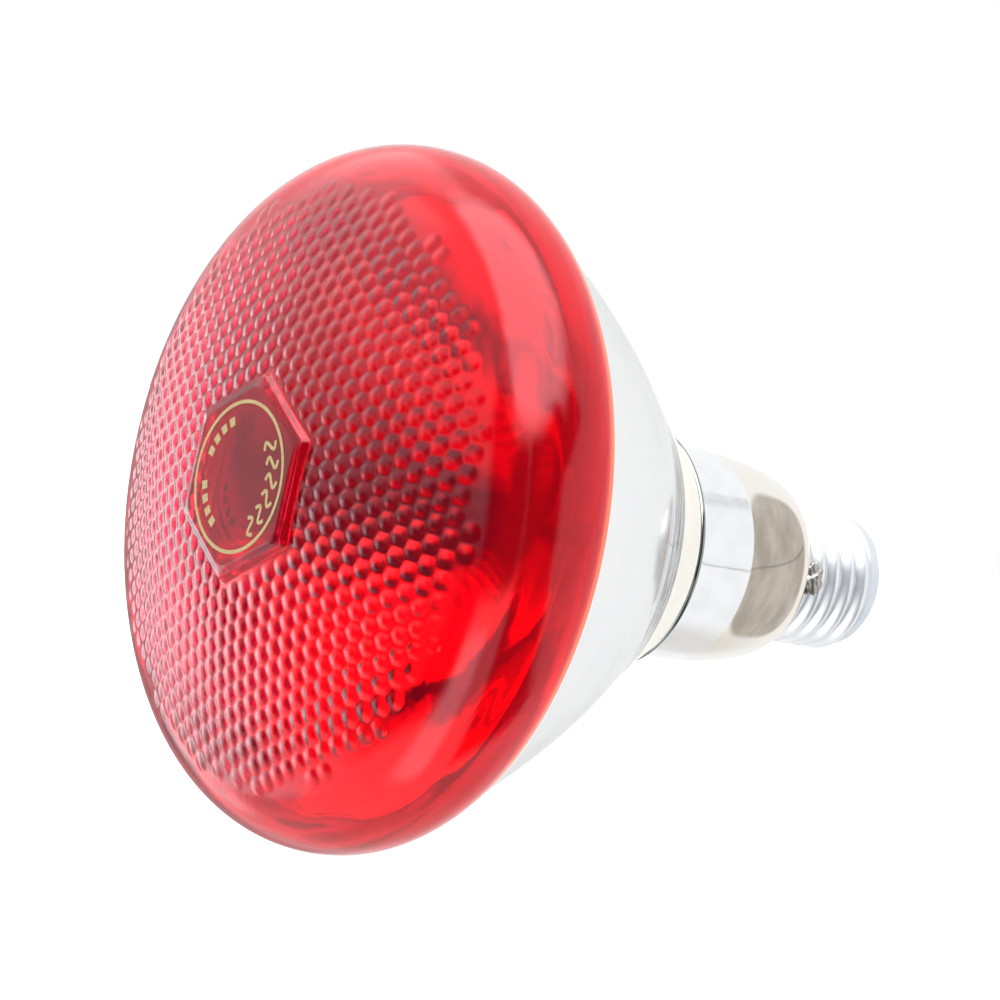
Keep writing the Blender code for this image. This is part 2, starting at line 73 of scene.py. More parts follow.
# --- camera, in degrees, metres and a lens in millimetres -------------------------------
CAMERA_AZIMUTH = 52.4
CAMERA_ELEVATION = 3.36
CAMERA_ROLL = 12.75
CAMERA_DISTANCE = 0.6375
CAMERA_AIM = Vector((0.0262, -0.1074, 0.0058))
CAMERA_LENS = 137.75

# --- lens, in millimetres ---------------------------------------------------------------
LENS_RADIUS = (cad_high.x - cad_low.x) / 2 / MM
RIM_FILLET = 15.0
RIM_DEPTH = 25.4
DOME_EDGE_ANGLE = math.radians(24.0)
LENS_WALL = 3.5
RIM_TUCK = 3.4                         # the rim's arc tightens by this behind its widest point
RIPPLES = ((0.20, 5, 0.55, 0.0),       # height, waves round the lens, lean per row, phase
           (0.14, 12, -0.8, 1.0),
           (0.09, 23, 0.4, 2.0))
SEAM_DEPTH = 31.3
SEAM_RADIUS = 58.6
BUMP_PITCH = 3.45
BUMP_HEIGHT = 0.38
BUMP_RADIUS = 1.88
FIELD_RADIUS = 51.0                    # the outermost bump centres lie inside this
FIELD_EDGE_DEPTH = 11.5                # depth of the dome where the bump field ends
FACE_RADIUS = 52.3                     # the pressed face ends here and the rim's arc begins
GLOW_DEPTH = 21.0                      # the rim's glass lets less light through from here
STAIN_END = 29.3                       # from here the red pales to orange at the seam
BOSS_ROWS = 6                          # the boss replaces this many rows of bumps
BOSS_APOTHEM = 15.1
BOSS_TOP_DEPTH = 0.06
BOSS_CHAMFER = 1.5                     # width of the rounded edge round the flat
BOSS_CHAMFER_DROP = 0.45
BOSS_CORNER = 0.35                     # share of its point that a corner keeps
PRINT_RADIUS = 12.7
PRINT_WIDTH = 0.62
WAVE_BEARINGS = (48, 66, 84, 102, 120, 138)
WAVE_DISTANCE = 9.75
WAVE_SIZE = 3.3
BAR_GROUPS = (-52, -128)
BAR_OFFSETS = (-22, -8, 6, 20)
BAR_HALF_ANGLE = 4.2
BAR_DISTANCE = 9.9
BAR_WIDTH = 1.5

# --- reflector, in millimetres ----------------------------------------------------------
BOWL_FRONT = SEAM_DEPTH + 0.05
BOWL_FOCAL = 15.6
BOWL_END = 67.0
CONE_END = (83.3, 22.25)
CONE_SAG = 0.25
COATING_END = 72.7                     # behind this the glass carries cream cement, not mirror
COATING_STEP = ((71.9, 0.08), (72.3, 0.22), (72.7, 0.24), (73.1, 0.08), (73.6, 0.0))  # depth, dip
MIRROR_VERTEX = 82.0
MIRROR_RIM = 55.2
MIRROR_HOLE = 12.5
FILM = 0.12
NECK_RADIUS = 17.6
NECK_WALL = 3.0
NECK_END = 98.0
BACK_WALL = 87.0

# --- cap, in millimetres ----------------------------------------------------------------
SKIRT_RADIUS = 19.3
SKIRT_LIP = (83.4, 22.3)
SKIRT_WALL = 0.7
SKIRT_END = (115.4, 15.7)
FLANGE_END = 84.1                      # the painted shade on the lip's flange ends here
SHOULDER_START = 98.4
SHOULDER_REFLECTION_DEPTH = 105.4                     # centre of the painted reflection, a brown patch on the shoulder
SHOULDER_REFLECTION_REACH = 7.8
SHOULDER_REFLECTION_BEARING = math.radians(5)
SHOULDER_REFLECTION_SPREAD = math.radians(44)
SKIRT_RIM_REFLECTION = (111.0, 115.2)
CREST_RADIUS = 13.2
THREAD_PITCH = 3.62
THREAD_HEIGHT = 1.15
THREAD_START = 117.0
THREAD_END = 135.2
SHEET = 0.35
SOLDER_PLACE = (13.7, 118.6, 0.6)      # X, depth and Z of the blob beside the skirt's end
SOLDER_REACH = (1.3, 1.9, 2.9)


# --- node helpers -----------------------------------------------------------------------

class Tree:
    """Short calls for building a node tree."""

    def __init__(self, owner):
        owner.use_nodes = True
        self.nodes = owner.node_tree.nodes
        self.links = owner.node_tree.links

    def feed(self, socket, value):
        """Links another node's output to a socket, or sets the socket's own value."""
        if isinstance(value, bpy.types.NodeSocket):
            self.links.new(value, socket)
        else:
            socket.default_value = value

    def math(self, operation, a, b=0.0):
        made = self.nodes.new("ShaderNodeMath")
        made.operation = operation
        self.feed(made.inputs[0], a)
        self.feed(made.inputs[1], b)
        return made.outputs[0]

    def times(self, a, b):
        return self.math("MULTIPLY", a, b)

    def inverse(self, value):
        """1 minus a value."""
        return self.math("SUBTRACT", 1.0, value)

    def step(self, value, low, high):
        """0 below low and 1 above high, with a smooth change between."""
        made = self.nodes.new("ShaderNodeMapRange")
        made.interpolation_type = "SMOOTHSTEP"
        self.feed(made.inputs["Value"], value)
        made.inputs["From Min"].default_value = low
        made.inputs["From Max"].default_value = high
        return made.outputs["Result"]

    def between(self, value, low, high):
        """Maps 0..1 to low..high."""
        made = self.nodes.new("ShaderNodeMapRange")
        self.feed(made.inputs["Value"], value)
        made.inputs["To Min"].default_value = low
        made.inputs["To Max"].default_value = high
        return made.outputs["Result"]

    def mix(self, factor, a, b):
        """Colour a where the factor is 0 and b where it is 1."""
        made = self.nodes.new("ShaderNodeMix")
        made.data_type = "RGBA"
        self.feed(made.inputs["Factor"], factor)
        self.feed(made.inputs[6], a)
        self.feed(made.inputs[7], b)
        return made.outputs[2]

    def place(self, scale=(1.0, 1.0, 1.0)):
        """Object coordinates in millimetres, scaled per axis."""
        where = self.nodes.new("ShaderNodeTexCoord")
        mapping = self.nodes.new("ShaderNodeMapping")
        self.links.new(where.outputs["Object"], mapping.inputs["Vector"])
        mapping.inputs["Scale"].default_value = [s / MM for s in scale]
        return mapping.outputs["Vector"]

    def noise(self, scale, detail=3.0, stretch=(1.0, 1.0, 1.0), distortion=0.0):
        """Noise whose grain is about 1/scale millimetres."""
        made = self.nodes.new("ShaderNodeTexNoise")
        self.links.new(self.place(stretch), made.inputs["Vector"])
        made.inputs["Scale"].default_value = scale
        made.inputs["Detail"].default_value = detail
        made.inputs["Distortion"].default_value = distortion
        return made.outputs["Fac"]

    def attribute(self, name):
        """A number that the mesh stores at its points."""
        made = self.nodes.new("ShaderNodeAttribute")
        made.attribute_name = name
        return made.outputs["Fac"]

    def coordinates(self):
        """Object coordinates X, Y and Z, in metres."""
        where = self.nodes.new("ShaderNodeTexCoord")
        split = self.nodes.new("ShaderNodeSeparateXYZ")
        self.links.new(where.outputs["Object"], split.inputs[0])
        return split.outputs["X"], split.outputs["Y"], split.outputs["Z"]

    def depth(self):
        """Depth behind the front of the lamp, in millimetres."""
        y = self.coordinates()[1]
        return self.times(self.math("SUBTRACT", y, FRONT), 1 / MM)

    def bump(self, height, strength, distance_mm, under=None):
        """Relief from a height, laid over another relief if one is given."""
        made = self.nodes.new("ShaderNodeBump")
        made.inputs["Strength"].default_value = strength
        made.inputs["Distance"].default_value = distance_mm * MM
        self.links.new(height, made.inputs["Height"])
        if under is not None:
            self.links.new(under, made.inputs["Normal"])
        return made.outputs["Normal"]


def rgb(red, green, blue):
    return (red, green, blue, 1.0)


def surface(name, **constants):
    """A new material: returns it with its tree and its Principled shader."""
    made = bpy.data.materials.new(name)
    tree = Tree(made)
    shader = tree.nodes["Principled BSDF"]
    for key, value in constants.items():
        shader.inputs[key.replace("_", " ")].default_value = value
    return made, tree, shader


# --- materials --------------------------------------------------------------------------

def red_glass_look():
    """Ruby-stained pressed glass, with a painted glow of brighter red in the rim and on the boss's wall,
    and paling to orange at the seam.
    """
    made, tree, shader = surface("red_glass_look", IOR=1.5)
    depth = tree.depth()
    streaks = tree.step(tree.noise(0.05, 3.0, (1.0, 0.4, 1.0), 1.2), 0.35, 0.7)
    ruby = tree.mix(streaks, rgb(0.62, 0.004, 0.036), rgb(0.74, 0.007, 0.042))
    specks = tree.step(tree.noise(2.6, 5.0), 0.56, 0.70)
    ruby = tree.mix(tree.times(specks, 0.5), ruby, rgb(0.60, 0.002, 0.02))
    # painted glow: the smooth rim gets a brighter red than the field, standing in for light sent out
    # through it
    rim = tree.step(depth, FIELD_EDGE_DEPTH, FIELD_EDGE_DEPTH + 3.0)
    ruby = tree.mix(rim, ruby, rgb(0.94, 0.004, 0.018))
    edge = tree.step(depth, STAIN_END, SEAM_DEPTH)
    stained = tree.mix(edge, ruby, rgb(1.0, 0.16, 0.07))
    # painted highlight: the boss's wall is coloured a brighter red and lets less light through than the
    # rest, so it shows as a lit strip
    side = tree.attribute("wall")
    tree.feed(shader.inputs["Base Color"], tree.mix(side, stained, rgb(0.85, 0.003, 0.012)))

    body = tree.math("MAXIMUM", tree.times(side, 0.25), tree.times(rim, 0.12))
    # painted glow: towards the seam the rim lets less light through, so its red shows as lit
    glow = tree.step(depth, GLOW_DEPTH, STAIN_END)
    body = tree.math("MAXIMUM", body, tree.times(glow, 0.32))
    body = tree.math("MAXIMUM", body, edge)
    tree.feed(shader.inputs["Transmission Weight"], tree.between(body, 0.93, 0.25))

    haze = tree.between(tree.noise(0.8, 4.0), 0.02, 0.10)
    pressed = tree.times(tree.attribute("field"), 0.12)
    tree.feed(shader.inputs["Roughness"], tree.math("ADD", haze, pressed))
    swell = tree.bump(tree.noise(0.12, 2.0, distortion=0.6), 0.3, 0.3)
    tree.feed(shader.inputs["Normal"], tree.bump(tree.noise(2.2, 3.0), 0.15, 0.05, swell))
    shader.inputs["Specular Tint"].default_value = rgb(1.0, 0.84, 0.93)
    return made


def clear_glass_look():
    """Pressed glass: clear bowl, a painted dark band where its coating ends that stands in for the dark
    room the silvering mirrors, creamy cemented neck.
    """
    made, tree, shader = surface("clear_glass_look", IOR=1.48)
    cast = tree.mix(tree.noise(0.08, 2.0), rgb(0.975, 0.985, 0.983), rgb(0.99, 0.995, 0.995))
    depth = tree.depth()
    neck = tree.step(depth, COATING_END, COATING_END + 0.5)
    # painted reflection: the band over the silvered cone is coloured near black and made opaque,
    # standing in for the dark room it mirrors
    line = tree.times(tree.step(depth, BOWL_END - 0.6, BOWL_END + 0.4), tree.inverse(neck))
    streak = tree.step(tree.noise(1.0, 3.0, (0.10, 1.1, 0.10)), 0.42, 0.62)
    line = tree.times(line, tree.between(streak, 0.30, 1.0))
    shade = tree.mix(line, cast, rgb(0.03, 0.03, 0.03))
    rings = tree.noise(1.0, 3.0, (0.05, 1.4, 0.05))
    cream = tree.mix(rings, rgb(0.54, 0.52, 0.46), rgb(0.66, 0.64, 0.58))
    tree.feed(shader.inputs["Base Color"], tree.mix(neck, shade, cream))

    body = tree.math("MAXIMUM", neck, line)
    tree.feed(shader.inputs["Transmission Weight"], tree.between(body, 1.0, 0.0))
    gloss = tree.between(tree.noise(0.9, 4.0), 0.01, 0.05)
    tree.feed(shader.inputs["Roughness"], tree.math("ADD", gloss, tree.times(neck, 0.3)))
    tree.feed(shader.inputs["Normal"], tree.bump(tree.noise(0.06, 1.0), 0.10, 0.2))
    return made


def mirror_film_look():
    """Vacuum-deposited aluminium with faint cloudiness."""
    made, tree, shader = surface("mirror_film_look", Metallic=1.0)
    cloud = tree.noise(0.12, 4.0)
    tree.feed(shader.inputs["Base Color"], tree.mix(cloud, rgb(0.90, 0.91, 0.92), rgb(0.96, 0.96, 0.96)))
    tree.feed(shader.inputs["Roughness"], tree.between(tree.noise(0.7, 4.0), 0.03, 0.09))
    tree.feed(shader.inputs["Normal"], tree.bump(tree.noise(0.05, 2.0), 0.10, 0.3))
    return made


def plated_look(name, bright, dull, roughness, rings):
    """Spun, plated sheet metal: fine turning rings, cloudy patches and shallow dents.

    The caller gives the shader its colour, which starts from the one returned here.
    """
    made, tree, shader = surface(name, Metallic=1.0)
    cloud = tree.noise(0.22, 5.0)
    colour = tree.mix(tree.step(cloud, 0.35, 0.75), bright, dull)
    turning = tree.noise(1.0, 2.0, (0.02, 6.0, 0.02))
    scuffs = tree.noise(1.6, 6.0)
    wear = tree.math("ADD", tree.times(turning, 0.5), tree.times(scuffs, 0.5))
    tree.feed(shader.inputs["Roughness"], tree.between(wear, *roughness))
    dents = tree.bump(tree.noise(0.13, 2.0), 0.15, 0.2)
    tree.feed(shader.inputs["Normal"], tree.bump(turning, rings, 0.02, dents))
    return made, tree, shader, colour


def skirt_look():
    """Plated skirt: painted shade on the lip's flange, and painted reflections of the warm room on the
    shoulder, on its side and towards its rim.
    """
    made, tree, shader, colour = plated_look("skirt_look", rgb(0.93, 0.94, 0.95),
                                             rgb(0.87, 0.88, 0.89), (0.04, 0.12), 0.06)
    depth = tree.depth()
    # painted shade: the lip's flange is coloured dark grey where shade falls in the gap at the lip
    flange = tree.inverse(tree.step(depth, FLANGE_END, FLANGE_END + 0.6))
    colour = tree.mix(flange, colour, rgb(0.30, 0.33, 0.33))
    # painted reflections: beige on the drawn-in shoulder and peach towards the rim stand in for the warm
    # room that the metal mirrors
    drawn_in = tree.step(depth, SHOULDER_START, SHOULDER_START + 0.6)
    colour = tree.mix(drawn_in, colour, rgb(0.90, 0.87, 0.81))
    rim = tree.step(depth, *SKIRT_RIM_REFLECTION)
    colour = tree.mix(rim, colour, rgb(0.93, 0.84, 0.75))

    # painted reflection: a streaky brown oval on the shoulder's side stands in for a dark part of the
    # room that the metal mirrors
    x, _, z = tree.coordinates()
    bearing = tree.math("ARCTAN2", z, x)
    across = tree.math("DIVIDE", tree.math("SUBTRACT", depth, SHOULDER_REFLECTION_DEPTH), SHOULDER_REFLECTION_REACH)
    around = tree.math("DIVIDE", tree.math("SUBTRACT", bearing, SHOULDER_REFLECTION_BEARING), SHOULDER_REFLECTION_SPREAD)
    oval = tree.math("ADD", tree.math("POWER", tree.math("ABSOLUTE", across), 3.5),
                     tree.math("POWER", tree.math("ABSOLUTE", around), 3.5))
    inside = tree.inverse(tree.step(oval, 0.75, 1.15))
    inside = tree.times(inside, tree.step(depth, SHOULDER_START, SHOULDER_START + 0.25))
    streak = tree.step(tree.noise(0.30, 4.0, (0.5, 1.0, 0.5)), 0.30, 0.70)
    brown_reflection = tree.mix(streak, rgb(0.41, 0.36, 0.30), rgb(0.56, 0.50, 0.44))
    tree.feed(shader.inputs["Base Color"], tree.mix(inside, colour, brown_reflection))
    return made


def shell_look():
    """Plated shell, softer and darker than the skirt, with painted shade in the thread's roots."""
    made, tree, shader, colour = plated_look("shell_look", rgb(0.77, 0.79, 0.81),
                                             rgb(0.69, 0.71, 0.74), (0.28, 0.42), 0.15)
    shader.inputs["Metallic"].default_value = 0.72
    x, _, z = tree.coordinates()
    squares = tree.math("ADD", tree.math("POWER", x, 2.0), tree.math("POWER", z, 2.0))
    radius = tree.times(tree.math("SQRT", squares), 1 / MM)
    # painted shade: the thread's roots are coloured a darker grey-blue where shade falls in them
    root = tree.inverse(tree.step(radius, CREST_RADIUS - THREAD_HEIGHT, CREST_RADIUS - 0.4))
    painted_root_shade = tree.mix(tree.times(root, 0.45), colour, rgb(0.48, 0.53, 0.60))
    tree.feed(shader.inputs["Base Color"], painted_root_shade)
    return made


def plain_look(name, low, high, roughness, grain, metallic=0.0, relief=0.2, relief_mm=0.05):
    """Mottled colour, roughness and relief at one grain size, in 1/mm."""
    made, tree, shader = surface(name, Metallic=metallic)
    mottle = tree.noise(grain, 5.0)
    tree.feed(shader.inputs["Base Color"], tree.mix(tree.step(mottle, 0.3, 0.7), low, high))
    tree.feed(shader.inputs["Roughness"], tree.between(tree.noise(grain * 1.7, 4.0), *roughness))
    tree.feed(shader.inputs["Normal"], tree.bump(tree.noise(grain * 1.3, 4.0), relief, relief_mm))
    return made


def make_looks():
    """The material of every slot in the record."""
    return {
        "red_glass": red_glass_look(),
        "clear_glass": clear_glass_look(),
        "aluminium_film": mirror_film_look(),
        "gold_ink": plain_look("gold_ink_look", rgb(0.27, 0.20, 0.08), rgb(0.40, 0.31, 0.13),
                               (0.40, 0.60), 2.5, metallic=0.2, relief=0.3, relief_mm=0.02),
        "skirt_metal": skirt_look(),
        "shell_metal": shell_look(),
        "nickel": plain_look("nickel_look", rgb(0.30, 0.28, 0.26), rgb(0.50, 0.47, 0.43),
                             (0.25, 0.45), 1.2, metallic=1.0),
        "tungsten": plain_look("tungsten_look", rgb(0.10, 0.10, 0.11), rgb(0.22, 0.21, 0.22),
                               (0.35, 0.55), 3.0, metallic=1.0),
        "cement": plain_look("cement_look", rgb(0.45, 0.40, 0.32), rgb(0.62, 0.57, 0.48),
                             (0.8, 0.95), 1.5, relief=0.6, relief_mm=0.2),
        "black_glass": plain_look("black_glass_look", rgb(0.012, 0.012, 0.016), rgb(0.03, 0.03, 0.036),
                                  (0.08, 0.20), 0.8),
        "brass": plain_look("brass_look", rgb(0.62, 0.44, 0.20), rgb(0.80, 0.62, 0.32),
                            (0.22, 0.42), 1.0, metallic=1.0),
        "solder": plain_look("solder_look", rgb(0.30, 0.28, 0.25), rgb(0.62, 0.60, 0.57),
                             (0.25, 0.55), 1.1, metallic=1.0, relief=0.6, relief_mm=0.2),
        "copper": plain_look("copper_look", rgb(0.55, 0.26, 0.15), rgb(0.82, 0.46, 0.30),
                             (0.25, 0.45), 1.2, metallic=1.0),
        "fibre_sleeve": plain_look("fibre_look", rgb(0.70, 0.66, 0.56), rgb(0.88, 0.85, 0.78),
                                   (0.7, 0.9), 3.5, relief=0.7, relief_mm=0.15),
    }


# --- mesh helpers -----------------------------------------------------------------------

def add_mesh(name, points, faces, look, sharp_angle=35.0):
    """A smooth-shaded object from points in metres."""
    mesh = bpy.data.meshes.new(name)
    mesh.from_pydata([tuple(p) for p in points], [], faces)
    mesh.validate()
    shell = bmesh.new()
    shell.from_mesh(mesh)
    bmesh.ops.recalc_face_normals(shell, faces=shell.faces)
    shell.to_mesh(mesh)
    shell.free()
    mesh.shade_smooth()
    mesh.set_sharp_from_angle(angle=math.radians(sharp_angle))
    mesh.materials.append(look)
    piece = bpy.data.objects.new(name, mesh)
    bpy.context.scene.collection.objects.link(piece)
    return piece


def grid_faces(rows, columns, close_rows):
    """Quads between rows of a grid that closes round its columns."""
    faces = []
    last = rows if close_rows else rows - 1
    for i in range(last):
        here = i * columns
        there = ((i + 1) % rows) * columns
        for j in range(columns):
            k = (j + 1) % columns
            faces.append((here + j, here + k, there + k, there + j))
    return faces


def on_axis(outline, sides, centre=(0.0, 0.0)):
    """Rings of points in metres for an outline of (depth, radius) in millimetres."""
    depth = np.array([p[0] for p in outline]) * MM + FRONT
    radius = np.array([p[1] for p in outline]) * MM
    angle = np.arange(sides) * math.tau / sides
    points = np.empty((len(outline), sides, 3))
    points[..., 0] = centre[0] + radius[:, None] * np.sin(angle)
    points[..., 1] = depth[:, None]
    points[..., 2] = centre[1] + radius[:, None] * np.cos(angle)
    return points


def lathe(name, outline, look, sides=ROUND, closed=True, sharp_angle=35.0):
    """A turned solid. Its outline runs from front to back along the outside."""
    rings = on_axis(outline, sides)
    faces = grid_faces(len(outline), sides, closed)
    if not closed:
        faces = [tuple(range(sides))[::-1]] + faces
        start = (len(outline) - 1) * sides
        faces.append(tuple(range(start, start + sides)))
    return add_mesh(name, rings.reshape(-1, 3), faces, look, sharp_angle)


def arc(depth, radius, size, start, end, steps):
    """Arc points; angle 0 faces the front, 90 degrees faces outwards."""
    angles = np.linspace(math.radians(start), math.radians(end), steps)
    return [(depth - size * math.cos(a), radius + size * math.sin(a)) for a in angles]


def keep(piece, slot, *nodes):
    """Rides a piece on the lamp and hides the CAD nodes it stands for; its slot is not used."""
    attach(piece, BODY)
    if nodes:
        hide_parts(*nodes)
    return piece


# --- lens -------------------------------------------------------------------------------

def smooth(value, low, high):
    """0 below low and 1 above high, with a smooth change between."""
    t = np.clip((value - low) / (high - low), 0.0, 1.0)
    return t * t * (3 - 2 * t)


def dome_depth(radius, fillet):
    """Depth of the dome and its rim fillet at a radius, for one face of the glass."""
    rim = LENS_RADIUS - RIM_FILLET
    edge = rim + fillet * math.sin(DOME_EDGE_ANGLE)
    sphere = edge / math.sin(DOME_EDGE_ANGLE)
    edge_depth = RIM_DEPTH - fillet * math.cos(DOME_EDGE_ANGLE)
    apex = edge_depth - sphere * (1 - math.cos(DOME_EDGE_ANGLE))
    ball = apex + sphere - np.sqrt(np.maximum(sphere**2 - radius**2, 0.0))
    corner = RIM_DEPTH - np.sqrt(np.maximum(fillet**2 - np.maximum(radius - rim, 0.0) ** 2, 0.0))
    return np.where(radius < edge, ball, corner)


def hexagon_stretch(angle, roundness):
    """Radius over apothem of a hexagon with a corner at angle 0, its corners rounded."""
    sector = (angle + math.pi / 6) % (math.pi / 3) - math.pi / 6
    from_side = math.pi / 6 - np.abs(sector)
    sharp = 1.0 / np.cos(from_side)
    top = 1.0 / math.cos(math.pi / 6)
    limit = top - roundness
    soft = limit + (sharp - limit) * BOSS_CORNER
    return np.where(sharp > limit, soft, sharp)


def bump_height(x, z):
    """Height of the pressed bumps at points of the lens, from a hexagonal lattice."""
    column = BUMP_PITCH * math.sqrt(3) / 2
    best = np.zeros_like(x)
    first = np.round(x / column)
    for near in (-1, 0, 1):
        i = first + near
        shift = (i % 2) * BUMP_PITCH / 2
        j = np.round((z - shift) / BUMP_PITCH)
        cx = i * column
        cz = j * BUMP_PITCH + shift
        inside = np.hypot(cx, cz) < FIELD_RADIUS
        reach = np.maximum(np.abs(cx), np.abs(cx) / 2 + np.abs(cz) * math.sqrt(3) / 2)
        outside_boss = reach > (BOSS_ROWS - 0.5) * column
        from_centre = np.hypot(x - cx, z - cz) / BUMP_RADIUS
        cap = np.maximum(1 - from_centre**2, 0.0) ** 1.5
        cap = cap * (1 - 0.35 * smooth(np.hypot(cx, cz), FIELD_RADIUS - 5, FIELD_RADIUS))
        best = np.maximum(best, np.where(inside & outside_boss, cap, 0.0))
    return best * BUMP_HEIGHT


def face_radii():
    """Radii of the rings of the pressed face: closest together at the boss's wall."""
    return np.concatenate([
        np.array([PINHOLE, 3.0, 6.0, 9.0, 12.0, 13.0]),
        np.arange(13.3, 17.2, 0.14),
        np.arange(17.2, FACE_RADIUS - 0.1, 0.36),
    ])


def pressed_face(reach, angle):
    """Front of the lens inside the rim: the boss and the dome with its bumps."""
    hexness = smooth(reach, 12.0, 13.3) * (1 - smooth(reach, 17.0, 24.0))
    corner = 0.070 - 0.055 * smooth(reach, 13.3, BOSS_APOTHEM)
    radius = np.empty((len(reach), len(angle)))
    for i, (r, w, c) in enumerate(zip(reach, hexness, corner)):
        radius[i] = r * (1 + w * (hexagon_stretch(angle, c) - 1))
    x = radius * np.sin(angle)
    z = radius * np.cos(angle)
    dome = dome_depth(radius, RIM_FILLET)
    edge = smooth(reach, BOSS_APOTHEM - BOSS_CHAMFER, BOSS_APOTHEM)
    top = (BOSS_TOP_DEPTH + BOSS_CHAMFER_DROP * edge)[:, None]
    wall = smooth(reach, BOSS_APOTHEM - 0.15, BOSS_APOTHEM + 0.75)[:, None]
    depth = (1 - wall) * top + wall * dome
    tilt = np.clip(radius / (LENS_RADIUS - RIM_FILLET) * math.sin(DOME_EDGE_ANGLE), 0, 1)
    height = bump_height(x, z) * smooth(reach, BOSS_APOTHEM + 0.6, BOSS_APOTHEM + 1.4)[:, None]
    depth = depth - height * np.sqrt(1 - tilt**2)
    spread = 1 + height * tilt / np.maximum(radius, 1.0)
    return np.stack([x * spread * MM, depth * MM + FRONT, z * spread * MM], axis=-1)


def rim_and_back(angle):
    """Smooth rim, fused lip and inner face, whose curve is rippled as pressed glass is."""
    rim = LENS_RADIUS - RIM_FILLET
    edge_degrees = math.degrees(math.asin((FACE_RADIUS - rim) / RIM_FILLET))
    outside = arc(RIM_DEPTH, rim, RIM_FILLET, edge_degrees, 90, 26)
    outside += arc(RIM_DEPTH + 0.4, rim + RIM_TUCK, RIM_FILLET - RIM_TUCK, 94, 122, 12)
    lip = [(SEAM_DEPTH - 0.25, SEAM_RADIUS + 0.12), (SEAM_DEPTH, SEAM_RADIUS - 0.15),
           (SEAM_DEPTH, SEAM_RADIUS - 3.3)]
    inner_fillet = RIM_FILLET - LENS_WALL
    inside = arc(RIM_DEPTH, rim, inner_fillet, 88, math.degrees(DOME_EDGE_ANGLE), 16)
    inner_radius = np.linspace(inside[-1][1] - 2.0, PINHOLE, 22)
    inside += [(float(dome_depth(np.array(r), inner_fillet)), float(r)) for r in inner_radius]
    rings = on_axis(outside + lip + inside, len(angle))
    row = np.arange(len(inside))[:, None]
    ripple = sum(height * np.sin(waves * angle + lean * row + phase)
                 for height, waves, lean, phase in RIPPLES)
    ripple *= smooth(row, 1.0, 5.0) * (1 - smooth(row, 17.0, 26.0))
    inner = rings[len(outside + lip):]
    radii = np.array([p[1] for p in inside])[:, None]
    inner[..., (0, 2)] *= (1 + ripple / radii)[..., None]
    return rings


def mark_zones(lens, reach):
    """Stores which points lie on the boss's wall and in the bump field, for the look."""
    on_wall = smooth(reach, BOSS_APOTHEM - 0.1, BOSS_APOTHEM + 0.1)
    on_wall *= 1 - smooth(reach, BOSS_APOTHEM + 0.7, BOSS_APOTHEM + 1.1)
    in_field = smooth(reach, BOSS_APOTHEM + 0.6, BOSS_APOTHEM + 1.4)
    in_field *= 1 - smooth(reach, FIELD_RADIUS, FIELD_RADIUS + 1.2)
    for name, share in (("wall", on_wall), ("field", in_field)):
        values = np.zeros(len(lens.data.vertices))
        values[:len(reach) * LENS_SIDES] = np.repeat(share, LENS_SIDES)
        zone = lens.data.attributes.new(name, "FLOAT", "POINT")
        zone.data.foreach_set("value", values)


def make_lens(look):
    """Domed cover with its bump field, boss, smooth rim and inner face."""
    angle = np.arange(LENS_SIDES) * math.tau / LENS_SIDES
    reach = face_radii()
    rings = np.concatenate([pressed_face(reach, angle), rim_and_back(angle)])
    faces = grid_faces(len(rings), LENS_SIDES, True)
    lens = add_mesh("lens_glass", rings.reshape(-1, 3), faces, look, 50.0)
    mark_zones(lens, reach)
    return lens


def ribbon(points, width, depth_front, depth_back):
    """A thin printed stroke along a route of (x, z) points in millimetres."""
    route = np.array(points)
    along = np.gradient(route, axis=0)
    along /= np.linalg.norm(along, axis=1)[:, None]
    across = np.stack([-along[:, 1], along[:, 0]], axis=1) * width / 2
    left = route + across
    right = route - across
    verts = []
    for depth in (depth_front, depth_back):
        y = FRONT + depth * MM
        verts += [(p[0] * MM, y, p[1] * MM) for p in left]
        verts += [(p[0] * MM, y, p[1] * MM) for p in right]
    n = len(route)
    faces = []
    for i in range(n - 1):
        faces.append((i, i + 1, n + i + 1, n + i))
        faces.append((2 * n + i, 3 * n + i, 3 * n + i + 1, 2 * n + i + 1))
        faces.append((i, 2 * n + i, 2 * n + i + 1, i + 1))
        faces.append((n + i, n + i + 1, 3 * n + i + 1, 3 * n + i))
    faces.append((0, n, 3 * n, 2 * n))
    faces.append((n - 1, 3 * n - 1, 4 * n - 1, 2 * n - 1))
    return verts, faces


def wave_route(bearing):
    """An upright S-shaped heat wave, turned to stand on the ring."""
    turn = math.radians(bearing)
    points = []
    for t in np.linspace(-1, 1, 15):
        side = 0.33 * WAVE_SIZE * math.sin(t * math.pi)
        out = WAVE_DISTANCE + 0.5 * WAVE_SIZE * t
        points.append((out * math.sin(turn) + side * math.cos(turn),
                       out * math.cos(turn) - side * math.sin(turn)))
    return points


def bar_route(bearing):
    """A short bar along the ring."""
    spread = np.linspace(-BAR_HALF_ANGLE, BAR_HALF_ANGLE, 7)
    bearings = [math.radians(bearing + t) for t in spread]
    return [(BAR_DISTANCE * math.sin(a), BAR_DISTANCE * math.cos(a)) for a in bearings]


